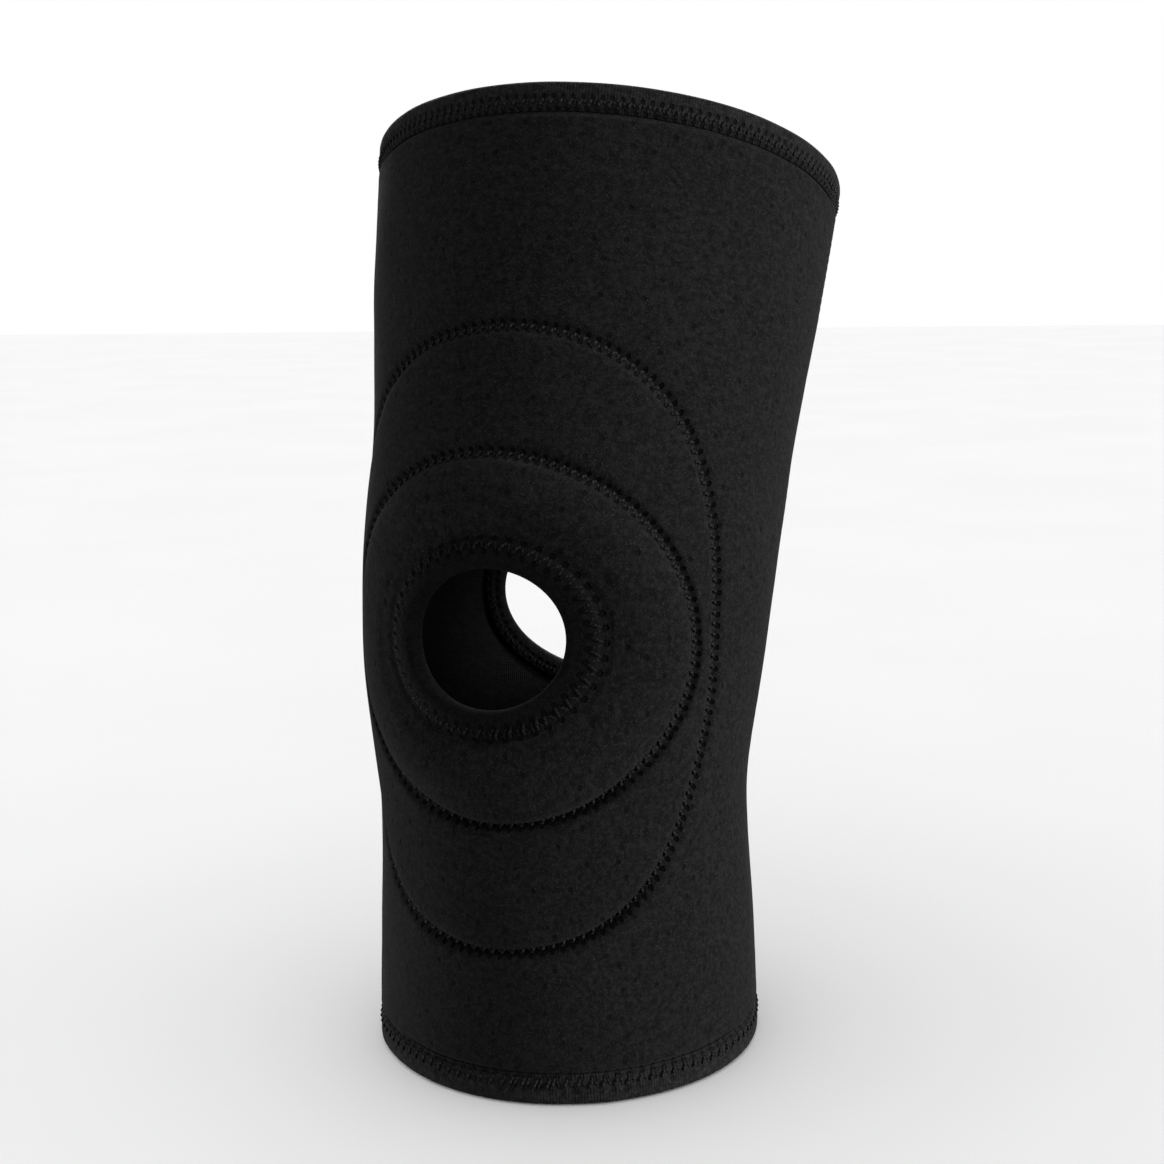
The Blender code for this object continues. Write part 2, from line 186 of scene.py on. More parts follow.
# Camera and light, in degrees and metres
CAMERA_AZIMUTH = 21.49
CAMERA_ELEVATION = 9.36
CAMERA_ROLL = -1.30
CAMERA_DISTANCE = 0.583
CAMERA_TARGET = (0.03, 0.15)
CAMERA_LENS = 54.4
CAMERA_SHIFT = (-0.0093, -0.0214)
SUNS = (  # name, strength, softness, azimuth, elevation
    ("key_light", 12.6, 30, 93, 12),
    ("fill_light", 2.0, 50, -44, 0),
    ("back_light", 12.0, 40, 201, 30),
)
# A small lamp low on the left: power, size, azimuth, distance, height
LOW_LIGHT = (0.40, 0.12, -70, 0.24, 0.0)


# ---------------------------------------------------------------- the leg's surface


def smooth(t):
    t = np.clip(t, 0.0, 1.0)
    return t * t * (3 - 2 * t)


def lean_at(along):
    share = np.asarray(along) / LENGTH
    return THIGH_LEAN * smooth((share - BEND_START) / (BEND_END - BEND_START))


def bend_at(along):
    """How fast the leg's lean grows, in radians a metre."""
    t = np.clip((np.asarray(along) / LENGTH - BEND_START) / (BEND_END - BEND_START), 0.0, 1.0)
    return THIGH_LEAN * 6 * t * (1 - t) / ((BEND_END - BEND_START) * LENGTH)


def centre_line():
    along = np.linspace(0.0, LENGTH, CENTRE_STEPS + 1)
    step = along[1]
    lean = lean_at(along[:-1] + step / 2)
    y = np.concatenate([[0.0], np.cumsum(np.sin(lean) * step)])
    z = np.concatenate([[0.0], np.cumsum(np.cos(lean) * step)])
    return along, y, z


CENTRE_ALONG, CENTRE_Y, CENTRE_Z = centre_line()


def half_width_at(along):
    """Half the sleeve's width, on a smooth curve through WIDTHS."""
    shares, widths = np.array(WIDTHS).T
    slopes = np.gradient(widths, shares)
    share = np.clip(np.asarray(along) / LENGTH, 0.0, 1.0)
    i = np.clip(np.searchsorted(shares, share, side="right") - 1, 0, len(shares) - 2)
    span = shares[i + 1] - shares[i]
    t = (share - shares[i]) / span
    start = (2 * t**3 - 3 * t**2 + 1) * widths[i] + (t**3 - 2 * t**2 + t) * span * slopes[i]
    end = (3 * t**2 - 2 * t**3) * widths[i + 1] + (t**3 - t**2) * span * slopes[i + 1]
    return (start + end) / 2


KNEE_HALF = float(half_width_at(KNEE))
POPLITEAL_HALF = float(half_width_at(POPLITEAL))


def from_front(angle):
    return (np.asarray(angle) + math.pi) % (2 * math.pi) - math.pi


def on_leg(angle, along, out):
    angle, along, out = np.broadcast_arrays(angle, along, out)
    lean = lean_at(along)
    half = half_width_at(along)
    from_patella = np.hypot(from_front(angle) * half, (along - KNEE) * FRONT_STRETCH)
    rise = PATELLA_RISE * (1 - smooth(from_patella / PATELLA_REACH))
    side = (half + out) * np.sin(angle)
    back = -(half * DEPTH_RATIO + out + rise) * np.cos(angle)
    y = np.interp(along, CENTRE_ALONG, CENTRE_Y) + back * np.cos(lean)
    z = np.interp(along, CENTRE_ALONG, CENTRE_Z) - back * np.sin(lean)
    return np.stack([side, y - MIDDLE, z], axis=-1)


def run_along(points):
    """The length of a line up to each of its points."""
    return np.concatenate([[0.0], np.cumsum(np.linalg.norm(np.diff(points, axis=0), axis=1))])


def stretch_at(angle, along):
    """How much longer the outer face is here than the middle of the leg."""
    return 1 + half_width_at(along) * DEPTH_RATIO * np.cos(angle) * bend_at(along)


# ---------------------------------------------------------------- outlines


def on_outline(turn, outline, grow=0.0):
    wide, high, tilt, power = outline
    reach = (np.abs(np.sin(turn)) ** power + np.abs(np.cos(turn)) ** power) ** (-1 / power)
    across = (wide + grow) * np.sin(turn) * reach
    up = (high + grow / FRONT_STRETCH) * np.cos(turn) * reach
    turned_across = across * math.cos(tilt) - up * math.sin(tilt)
    turned_up = across * math.sin(tilt) + up * math.cos(tilt)
    return turned_across / KNEE_HALF, KNEE + turned_up


def unturned(angle, along, tilt):
    """The point's place across and up an outline round the patella, with the outline's tilt taken off."""
    across = from_front(angle) * KNEE_HALF
    up = np.asarray(along) - KNEE
    level = across * math.cos(tilt) + up * math.sin(tilt)
    return level, up * math.cos(tilt) - across * math.sin(tilt)


def turn_of(angle, along, outline):
    wide, high, tilt, _ = outline
    across, up = unturned(angle, along, tilt)
    return np.arctan2(across / wide, up / high)


def distance_in(across, up, half_sizes, stretch, power=2.0):
    """Distance inside an oval, measured on the stretched surface. It is negative outside."""
    x = np.abs(across / half_sizes[0])
    y = np.abs(up / half_sizes[1])
    share = np.maximum((x**power + y**power) ** (1 / power), 1e-6)
    slope_across = (x / share) ** (power - 1) / half_sizes[0]
    slope_up = (y / share) ** (power - 1) / half_sizes[1] / stretch
    return (1 - share) / np.maximum(np.hypot(slope_across, slope_up), 1e-6)


def inside(angle, along, outline):
    wide, high, tilt, power = outline
    across, up = unturned(angle, along, tilt)
    return distance_in(across, up, (wide, high), stretch_at(angle, along), power)


def lower_edge(angle, along, outline, middle):
    """1 along the bottom of an outline, whose middle is this much of a turn towards +X, and 0 elsewhere."""
    below = (turn_of(angle, along, outline) + middle) % (2 * math.pi) - math.pi
    return np.exp(-((below / LOWER_EDGE_TURN) ** 4))


def from_patella(angle, along):
    """Distance outside the patella's edge, measured as patella_rim() lays it out."""
    across, up = unturned(angle, along, 0.0)
    distance = -distance_in(across, up, PATELLA_HOLE, FRONT_STRETCH)
    for _ in range(4):
        wide = np.maximum(PATELLA_HOLE[0] + distance * RIM_SPREAD, 0.001)
        high = np.maximum(PATELLA_HOLE[1] + distance / FRONT_STRETCH, 0.001)
        share = np.hypot(across / wide, up / high)
        slope = (across**2 * RIM_SPREAD / wide**3 + up**2 / FRONT_STRETCH / high**3) / np.maximum(share, 1e-6)
        distance = distance + (share - 1) / np.maximum(slope, 1e-6)
    return distance


def from_popliteal(angle, along):
    """Distance outside the edge of the opening at the back."""
    across = from_front(np.asarray(angle) - math.pi) * POPLITEAL_HALF
    return -distance_in(across, np.asarray(along) - POPLITEAL, POPLITEAL_HOLE, stretch_at(angle, along))


def from_seam(angle, along):
    return np.abs(from_front(np.asarray(angle) - math.pi)) * half_width_at(along)


def top_hem(turn, distance):
    return np.broadcast_arrays(-turn, LENGTH - distance)


def bottom_hem(turn, distance):
    return np.broadcast_arrays(turn, distance)


def patella_rim(turn, distance):
    across = (PATELLA_HOLE[0] + distance * RIM_SPREAD) * np.sin(turn)
    up = (PATELLA_HOLE[1] + distance / FRONT_STRETCH) * np.cos(turn)
    return across / KNEE_HALF, KNEE + up


def popliteal_rim(turn, distance):
    across = (POPLITEAL_HOLE[0] + distance) * np.sin(turn)
    up = (POPLITEAL_HOLE[1] + distance) * np.cos(turn)
    return math.pi + across / POPLITEAL_HALF, POPLITEAL + up


def buttress_edge(turn, distance):
    return on_outline(turn, BUTTRESS, distance)


def support_edge(turn, distance):
    return on_outline(turn, SUPPORT, distance)


def seam_line(height, distance):
    """Up the middle of the back, with distances to the left as seen from behind."""
    return math.pi - distance / half_width_at(height), height


class Stitching:
    """A pair of rows of needle holes beside a line, and the thread that crosses between them."""

    def __init__(self, lay, rows, pitch, first=-math.pi, last=math.pi, on_tape=False):
        self.lay = lay
        self.middle, self.half_gap = rows
        self.on_tape = on_tape
        self.tape_depth = self.middle + self.half_gap + TAPE_EDGE
        self.turns = np.linspace(first, last, 3001)
        run = run_along(on_leg(*lay(self.turns, self.middle), 0.0))
        self.count = round(run[-1] / pitch)
        self.done = run / run[-1] * self.count

    def uv(self, turn, distance):
        """(stitches along, distance across), with the distance scaled so that all rows are as far apart."""
        across = (distance - self.middle) * CONTOUR_ROWS[1] / self.half_gap
        return np.stack(np.broadcast_arrays(np.interp(turn, self.turns, self.done), across), axis=-1)

    def strand(self, face, side, lift, closed=True, start=0.0, first=0.0, stitches=None, below=0.0):
        """The thread on an outer face (side 1), or below an inner one (side -1): points, normals, closed."""
        steps = (stitches or self.count) * THREAD_STEPS + (0 if closed else 1)
        phase = first + np.arange(steps) / THREAD_STEPS
        turn = np.interp(phase, self.done, self.turns)
        leg = 2 * ((phase + start) % 1.0)
        across = np.where(leg < 1, 2 * leg - 1, 3 - 2 * leg)
        wobble = 1 + 0.09 * np.sin(phase * 2.4) + 0.07 * np.sin(phase * 5.3 + 1.0)
        distance = self.middle + across * self.half_gap * wobble
        angle, along = self.lay(turn, distance)
        height = np.where(leg < 1, lift, lift * SUNK_LEG) + THREAD_DIP
        raised = np.sin(math.pi * leg) ** 2 * height - THREAD_DIP
        if self.on_tape:
            raised = raised + tape_height(distance, self.tape_depth)
        out = face(angle, along) - below + side * raised
        points = on_leg(angle, along, out)
        return points, on_leg(angle, along, out + 0.001 * side) - points, closed

    def overlap(self, end):
        """The last stitches, sewn again over the first ones to hold them. They end at this turn."""
        first = np.interp(end, self.turns, self.done) - OVERLAP
        return self.strand(outer_face, 1, OVERLAP_LIFT, False, start=0.37, first=first, stitches=OVERLAP)


# ---------------------------------------------------------------- how the knit lies over the pads


def swell(depth, reach):
    return 1 - np.exp(-np.maximum(depth, 0.0) / reach)


def groove(distance, size):
    depth, reach = size
    return depth * np.exp(-((distance / reach) ** 4))


def pinch(past_tape):
    return TAPE_PINCH * (1 - smooth((past_tape + PINCH_START) / PINCH_SLOPE))


def uneven(angle, along):
    """Slow unevenness of cloth, a few tenths of a millimetre."""
    a = np.asarray(angle)
    s = np.asarray(along)
    waves = (
        (3, 47, 0.4, 0.10),
        (5, -61, 1.9, 0.08),
        (8, 83, 3.1, 0.06),
        (13, -128, 0.7, 0.05),
        (21, 171, 2.3, 0.035),
        (17, 230, 4.4, 0.035),
    )
    return 0.001 * sum(size * np.sin(round_leg * a + up * s + phase) for round_leg, up, phase, size in waves)


def lifted(angle, along):
    """How far the panel is pushed out over the pads, and pressed in under the tapes."""
    from_hole = from_patella(angle, along)
    past_tape = from_hole - PATELLA_STITCH_END
    to_right = np.sin(turn_of(angle, along, BUTTRESS))
    side_share = np.where(to_right > 0, RIGHT_SHARE, LEFT_SHARE)
    ring = swell(inside(angle, along, BUTTRESS), BUTTRESS_REACH) * smooth((past_tape + 0.001) / RING_SLOPE)
    out = SUPPORT_SWELL * swell(inside(angle, along, SUPPORT), SUPPORT_REACH)
    out = out + BUTTRESS_SWELL * ring * (1 - (1 - side_share) * to_right**2)
    out = out - RIM_DROP * (1 + RIM_LEAN * to_right) * (1 - smooth(from_hole / PATELLA_STITCH_END))
    out = out - groove(past_tape - 0.001, (VALLEY, VALLEY_REACH))
    out = out - pinch(np.minimum(along, LENGTH - along) - TAPE_DEPTH)
    return out - pinch(from_popliteal(angle, along) - POPLITEAL_STITCH_END)


def crease_share(angle, along):
    """1 in the tight folds under the pads' lower edges, and 0 elsewhere. It sinks the folds, and it also sets
    the knit's painted shade in them.
    """
    share = 0.0
    for outline, middle, _ in LOWER_EDGES:
        fold = np.exp(-(((inside(angle, along, outline) - CREASE_START) / CREASE_REACH) ** 2))
        share = share + lower_edge(angle, along, outline, middle) * fold
    return share


def stitched(angle, along):
    """How deep the rows of stitches sink into the panel."""
    from_back_hole = from_popliteal(angle, along)
    at_tape = TAPE_DEPTH + 0.0002
    deep = groove(inside(angle, along, SUPPORT), SUPPORT_GROOVE)
    deep = deep + groove(inside(angle, along, BUTTRESS), BUTTRESS_GROOVE)
    deep = deep + groove(from_patella(angle, along) - PATELLA_STITCH_END, PATELLA_GROOVE)
    deep = deep + groove(from_back_hole - POPLITEAL_STITCH_END, POPLITEAL_GROOVE)
    deep = deep + groove(along - at_tape, BOTTOM_HEM_GROOVE)
    deep = deep + groove(LENGTH - along - at_tape, TOP_HEM_GROOVE)
    deep = deep + groove(from_seam(angle, along), SEAM_GROOVE) * (from_back_hole > 0)
    return deep + CREASE * crease_share(angle, along)


def outer_face(angle, along):
    rough = uneven(angle, along) * smooth(from_patella(angle, along) / 0.02)
    return lifted(angle, along) - stitched(angle, along) + rough


def inner_face(angle, along):
    """The panel's inner face, which follows the outer one into the folds under the pads."""
    from_row = from_patella(angle, along) - PATELLA_ROWS[0]
    squeezed = RIM_SQUEEZE * (1 - smooth(from_row / SQUEEZE_REACH))
    pulled = INNER_SHARE * stitched(angle, along) - (1 + INNER_SHARE) * CREASE * crease_share(angle, along)
    return lifted(angle, along) + pulled + squeezed - SLEEVE_THICK


def ring_share(angle, along):
    """0 at the edges of the padded ring and 1 along its middle."""
    in_buttress = inside(angle, along, BUTTRESS) - CONTOUR_ROWS[1]
    from_hole = from_patella(angle, along) - PATELLA_STITCH_END
    return np.clip(1.25 * swell(in_buttress, 0.0050) * swell(from_hole, 0.0060), 0.0, 1.0)


def over_support(angle, along):
    return inner_face(angle, along) - LAYER_GAP


def under_support(angle, along):
    return inner_face(angle, along) - SUPPORT_THICK - LAYER_GAP


def cover_face(angle, along):
    """The outer side of the lining over the foam."""
    share = ring_share(angle, along)
    return under_support(angle, along) * (1 - share) + COVER_DEPTH * share - LAYER_GAP


def cover_back(angle, along):
    return cover_face(angle, along) - COVER_THICK


def foam_face(angle, along):
    return under_support(angle, along) - LAYER_GAP


def foam_back(angle, along):
    return np.minimum(cover_face(angle, along) + LAYER_GAP, foam_face(angle, along) - LAYER_GAP)


def tape_height(distance, depth):
    """How far a tape's face stands above what it covers. Its edges are pressed down by their stitches."""
    pressed = smooth((distance / depth - 0.40) / 0.25)
    return (LAYER_GAP + TAPE_THICK * (1 - 0.45 * pressed)) * (distance < depth * 1.0001)


# ---------------------------------------------------------------- meshes


def add_object(name, points, faces, look):
    mesh = bpy.data.meshes.new(name)
    mesh.from_pydata(np.asarray(points).reshape(-1, 3).tolist(), [], faces)
    mesh.shade_smooth()
    mesh.materials.append(look)
    made = bpy.data.objects.new(name, mesh)
    bpy.context.scene.collection.objects.link(made)
    return made


def add_uv(made, name, corners):
    """A UV map from one (u, v) for each corner of each face."""
    layer = made.data.uv_layers.new(name=name, do_init=False)
    layer.data.foreach_set("uv", np.asarray(corners, np.float32).ravel())


def grid_faces(rows, columns, closed_rows=True):
    """Quads over rows that are rings. They face out where rings run to +X at the front and rows go up."""
    r = np.arange(rows if closed_rows else rows - 1)[:, None]
    c = np.arange(columns)[None, :]
    above = (r + 1) % rows * columns
    beside_it = (c + 1) % columns
    here = r * columns
    quads = np.stack([here + c, here + beside_it, above + beside_it, above + c], axis=-1)
    return quads.reshape(-1, 4).tolist()


def end_caps(rows, columns):
    last = (rows - 1) * columns
    return [list(range(columns))[::-1], list(range(last, last + columns))]


def grid_uv(values, closed_rows=True, closed_columns=True, period=None):
    """Corner values for grid_faces, from values on the grid: (rows, columns, 2)."""
    if closed_rows:
        values = np.concatenate([values, values[:1]])
    if closed_columns:
        last = values[:, :1].copy()
        if period:
            last[..., 0] += period
        values = np.concatenate([values, last], axis=1)
    corners = np.stack([values[:-1, :-1], values[:-1, 1:], values[1:, 1:], values[1:, :-1]], axis=2)
    return corners.reshape(-1, 2)


# ---------------------------------------------------------------- materials


class Shader:
    """A material under construction: its node tree and the coordinates that its patterns use."""

    def __init__(self, name, roughness, specular, sheen=0.0, sheen_roughness=0.5):
        self.material = bpy.data.materials.new(name)
        self.material.use_nodes = True
        self.tree = self.material.node_tree
        self.surface = self.tree.nodes["Principled BSDF"]
        self.surface.inputs["Roughness"].default_value = roughness
        self.surface.inputs["Specular IOR Level"].default_value = specular
        self.surface.inputs["Sheen Weight"].default_value = sheen
        self.surface.inputs["Sheen Roughness"].default_value = sheen_roughness
        self.surface.inputs["Sheen Tint"].default_value = (1.0, 1.0, 1.0, 1.0)

    def node(self, kind, settings=None, **inputs):
        made = self.tree.nodes.new(kind)
        for key, value in (settings or {}).items():
            setattr(made, key, value)
        for key, value in inputs.items():
            socket = made.inputs[int(key[1:])] if key[0] == "i" and key[1:].isdigit() else made.inputs[key]
            if isinstance(value, bpy.types.NodeSocket):
                self.tree.links.new(value, socket)
            else:
                socket.default_value = value
        return made

    def uv(self, name):
        return self.node("ShaderNodeUVMap", {"uv_map": name}).outputs["UV"]

    def parts(self, vector):
        made = self.node("ShaderNodeSeparateXYZ", i0=vector)
        return made.outputs[0], made.outputs[1]

    def math(self, operation, a, b=0.0, c=0.0):
        return self.node("ShaderNodeMath", {"operation": operation}, i0=a, i1=b, i2=c).outputs[0]

    def total(self, *parts):
        """The sum of these values, each times its share."""
        result = 0.0
        for value, share in parts:
            result = self.math("MULTIPLY_ADD", value, share, result)
        return result

    def wave(self, value, length):
        return self.math("SINE", self.math("MULTIPLY", value, 2 * math.pi / length))

    def ramp(self, value, low, high, start=0.0, end=1.0):
        """Smoothly from start to end as value goes from low to high."""
        smoothstep = {"interpolation_type": "SMOOTHSTEP"}
        made = self.node("ShaderNodeMapRange", smoothstep, i0=value, i1=low, i2=high, i3=start, i4=end)
        return made.outputs[0]

    def noise(self, vector, size, detail=2.0, roughness=0.5):
        made = self.node(
            "ShaderNodeTexNoise", Vector=vector, Scale=1 / size, Detail=detail, Roughness=roughness
        )
        return made.outputs["Fac"]

    def scaled(self, vector, x, y, z=1.0, turn=0.0):
        made = self.node("ShaderNodeMapping", i0=vector, i2=(0.0, 0.0, turn), i3=(x, y, z))
        return made.outputs[0]

    def mix(self, share, a, b):
        """From a to b, which are colours, or numbers for greys."""
        made = self.node("ShaderNodeMix", {"data_type": "RGBA"}, i0=share)
        for index, value in ((6, a), (7, b)):
            if isinstance(value, bpy.types.NodeSocket):
                self.tree.links.new(value, made.inputs[index])
            else:
                rgb = (value, value, value) if isinstance(value, float) else value
                made.inputs[index].default_value = (*rgb, 1.0)
        return made.outputs[2]

    def colour(self, value):
        self.tree.links.new(value, self.surface.inputs["Base Color"])

    def bump(self, height, depth):
        made = self.node("ShaderNodeBump", Height=height, Distance=depth, Strength=1.0)
        self.tree.links.new(made.outputs[0], self.surface.inputs["Normal"])


def knit_height(shader, place, wale, course):
    """Columns of V-shaped loops, as a height from 0 to 1."""
    across, up = shader.parts(place)
    arm = shader.math("ABSOLUTE", shader.wave(across, wale))
    row = shader.total((up, 2 * math.pi / course), (arm, 0.9 * math.pi))
    return shader.total((shader.math("SINE", row), 0.25), (arm, 0.6))


def needle_holes(shader):
    """1 at a pair of rows' needle holes, from the UV map "stitch": (stitches along, distance across)."""
    along, across = shader.parts(shader.uv("stitch"))
    to_row = shader.math("SUBTRACT", shader.math("ABSOLUTE", across), CONTOUR_ROWS[1])
    shift = shader.math("ADD", shader.math("MULTIPLY", shader.math("SIGN", across), -0.25), 0.25)
    from_hole = shader.math("SUBTRACT", shader.math("FRACT", shader.math("ADD", along, shift)), 0.5)
    near = shader.math("MULTIPLY", from_hole, CONTOUR_PITCH)
    squared = shader.math("ADD", shader.math("MULTIPLY", near, near), shader.math("MULTIPLY", to_row, to_row))
    return shader.ramp(shader.math("SQRT", squared), NEEDLE_HOLE * 0.60, NEEDLE_HOLE, 1.0, 0.0)


def pile(shader, place):
    """Short pale fibres lying every way on the knit, from 0 to 1."""
    total = None
    for turn, stretch, size in ((0.5, 3.2, 0.0011), (1.7, 2.6, 0.0009), (2.7, 3.6, 0.0013)):
        laid = shader.scaled(place, 1.0, 1.0, turn=turn)
        drawn = shader.scaled(laid, 1.0, stretch)
        fibre = shader.ramp(shader.noise(drawn, size, 2.0, 0.5), 0.58, 0.76)
        total = fibre if total is None else shader.math("MAXIMUM", total, fibre)
    return total


def knit_face():
    """Black knit bonded to neoprene: soft pile, faint loops, dimples over the foam's pinholes, and painted
    shade that darkens it in the folds under the pads' lower edges.
    """
    shader = Shader("knit_face", roughness=0.94, specular=0.025, sheen=0.008, sheen_roughness=0.50)
    place = shader.uv("fabric")
    mottle = shader.noise(place, 0.0034, 4.0, 0.65)
    grain = shader.noise(place, 0.0016, 1.0, 0.5)
    cloud = shader.noise(place, 0.030, 2.0, 0.5)
    fibres = pile(shader, place)
    holes = needle_holes(shader)

    lattice = shader.scaled(place, 1.0, 1.0, turn=math.radians(42))
    cells = shader.node(
        "ShaderNodeTexVoronoi", {"voronoi_dimensions": "2D"}, Vector=lattice, Scale=1 / 0.0072, Randomness=0.5
    )
    strength = shader.ramp(shader.noise(place, 0.012, 1.0), 0.42, 0.58, 0.25, 1.0)
    dimple = shader.ramp(cells.outputs["Distance"], 0.07, 0.15, 1.0, 0.0)
    dimple = shader.math("MULTIPLY", dimple, strength)

    base = shader.mix(shader.ramp(mottle, 0.32, 0.68), (0.0012, 0.0012, 0.0013), (0.0034, 0.0034, 0.0035))
    base = shader.mix(shader.ramp(cloud, 0.3, 0.7, 0.0, 0.35), base, (0.0011, 0.0011, 0.0012))
    base = shader.mix(shader.ramp(grain, 0.50, 0.28, 0.0, 0.6), base, 0.0009)
    base = shader.mix(shader.ramp(grain, 0.50, 0.72, 0.0, 0.6), base, (0.0046, 0.0046, 0.0047))
    base = shader.mix(shader.math("MULTIPLY", fibres, 0.7), base, (0.0115, 0.0115, 0.0117))
    base = shader.mix(shader.math("MULTIPLY", dimple, 0.65), base, 0.0003)
    base = shader.mix(holes, base, 0.0002)
    # Painted shade: the UV map "fold" darkens the knit in the folds under the pads' lower edges.
    fold, _ = shader.parts(shader.uv("fold"))
    base = shader.mix(shader.ramp(fold, 0.10, 0.55), base, 0.0001)
    shader.colour(base)

    loops = knit_height(shader, place, wale=0.0011, course=0.0008)
    raised = (loops, 0.10), (mottle, 0.55), (grain, 0.45), (fibres, 0.35)
    shader.bump(shader.total(*raised, (dimple, -0.8), (holes, -2.2)), 0.00030)
    return shader.material


def lining_knit():
    """Smoother black knit, with plain ribs, inside the sleeve and over the pads."""
    shader = Shader("lining_knit", roughness=0.85, specular=0.04, sheen=0.01, sheen_roughness=0.5)
    place = shader.uv("fabric")
    mottle = shader.noise(place, 0.0028, 3.0, 0.6)
    loops = knit_height(shader, place, wale=0.0016, course=0.0012)
    base = shader.mix(shader.ramp(mottle, 0.3, 0.7), (0.0025, 0.0025, 0.0026), (0.0055, 0.0055, 0.0057))
    # Painted shade: the low gaps between the loops are painted darker.
    base = shader.mix(shader.ramp(loops, 0.1, 0.7, 0.5, 0.0), base, (0.0014, 0.0014, 0.0015))
    shader.colour(base)
    shader.bump(shader.total((loops, 1.0), (mottle, 0.8)), 0.00022)
    return shader.material


def tape_weave(name, light, hole_share):
    """Soft black elastic tape, with fine ribs across it and some pile, and needle holes this open."""
    shader = Shader(name, roughness=0.90, specular=0.022, sheen=0.006, sheen_roughness=0.45)
    place = shader.uv("fabric")
    along, across = shader.parts(place)
    ribs = shader.wave(along, 0.0009)
    lines = shader.wave(across, 0.0007)
    mottle = shader.noise(place, 0.0030, 3.0, 0.6)
    grain = shader.noise(place, 0.0012, 2.0, 0.6)
    fibres = pile(shader, place)
    holes = shader.math("MULTIPLY", needle_holes(shader), hole_share)
    dark, pale, bright, fluffy = (light * share for share in (0.36, 1.0, 1.6, 3.2))
    base = shader.mix(shader.ramp(mottle, 0.3, 0.7), dark, pale)
    base = shader.mix(shader.ramp(grain, 0.50, 0.70, 0.0, 0.7), base, bright)
    base = shader.mix(shader.math("MULTIPLY", fibres, 0.5), base, fluffy)
    shader.colour(shader.mix(holes, base, 0.0002))
    raised = (ribs, 0.20), (lines, 0.10), (grain, 1.2), (mottle, 1.0)
    shader.bump(shader.total(*raised, (holes, -4.0)), 0.00016)
    return shader.material


def twisted_thread(name, dark, light, fluffy):
    """Textured polyester thread. The UV map "fabric" holds (metres along, turns round)."""
    shader = Shader(name, roughness=0.70, specular=0.035, sheen=0.005, sheen_roughness=0.4)
    along, around = shader.parts(shader.uv("fabric"))
    ply = shader.wave(shader.total((along, 1 / 0.0012), (around, 1.0)), 1.0)
    fluff = shader.noise(shader.uv("fabric"), 0.0006, 2.0, 0.6)
    # Painted shade and highlight: the ply's crests are painted lighter and its grooves darker, as the bump
    # raises and sinks them.
    base = shader.mix(shader.ramp(ply, -1.0, 1.0), dark, light)
    base = shader.mix(shader.ramp(fluff, 0.5, 0.8, 0.0, 0.5), base, fluffy)
    shader.colour(base)
    shader.bump(ply, 0.00010)
    return shader.material


def closed_cell_foam():
    """Dark grey foam, with small cells."""
    shader = Shader("closed_cell_foam", roughness=0.95, specular=0.2)
    place = shader.node("ShaderNodeTexCoord").outputs["Object"]
    cells = shader.node("ShaderNodeTexVoronoi", Vector=place, Scale=1 / 0.0011).outputs["Distance"]
    mottle = shader.noise(place, 0.006, 3.0, 0.6)
    base = shader.mix(shader.ramp(cells, 0.0, 0.7), (0.030, 0.030, 0.031), (0.075, 0.075, 0.077))
    base = shader.mix(shader.ramp(mottle, 0.4, 0.7, 0.0, 0.4), base, (0.045, 0.045, 0.046))
    shader.colour(base)
    shader.bump(cells, 0.00025)
    return shader.material


def floor_paint():
    shader = Shader("floor_paint", roughness=0.75, specular=0.2)
    place = shader.node("ShaderNodeTexCoord").outputs["Object"]
    mottle = shader.noise(place, 0.25, 3.0, 0.5)
    shader.colour(shader.mix(shader.ramp(mottle, 0.3, 0.7), 0.93, 0.95))
    return shader.material


# ---------------------------------------------------------------- the panel


def border(column, hem, seam, grow):
    """The panel's outline, this far in from its hems and seam, and grown round the popliteal opening."""
    side = np.where(column < 0, -1.0, 1.0)
    count = np.abs(column).astype(float)
    corner = np.cumsum(COLUMNS)
    at_seam = math.pi - seam / POPLITEAL_HALF
    across = POPLITEAL_HOLE[0] + grow
    up = POPLITEAL_HOLE[1] + grow
    first = math.asin(seam / across)
    turn = np.interp(count, corner[1:3], [first, math.pi - first])
    meets = up * math.cos(first)
    knots = [0, *corner]
    angle = np.interp(count, knots, [0, at_seam, at_seam, at_seam, at_seam, 0])
    heights = [LENGTH - hem, LENGTH - hem, POPLITEAL + meets, POPLITEAL - meets, hem, hem]
    along = np.interp(count, knots, heights)
    round_it = (count >= corner[1]) & (count <= corner[2])
    angle = np.where(round_it, math.pi - across * np.sin(turn) / POPLITEAL_HALF, angle)
    along = np.where(round_it, POPLITEAL + up * np.cos(turn), along)
    return side * angle, along


def eased(rows, start, end):
    """Shares from 0 to 1, closer together by start at the beginning and by end at the end."""
    t = np.linspace(0.0, 1.0, rows + 1)[:-1]
    rate = 1 - start * (1 - t) ** 2 - end * t**2
    share = np.concatenate([[0.0], np.cumsum((rate[:-1] + rate[1:]) / 2)])
    last = share[-1] + rate[-1]
    return share / last


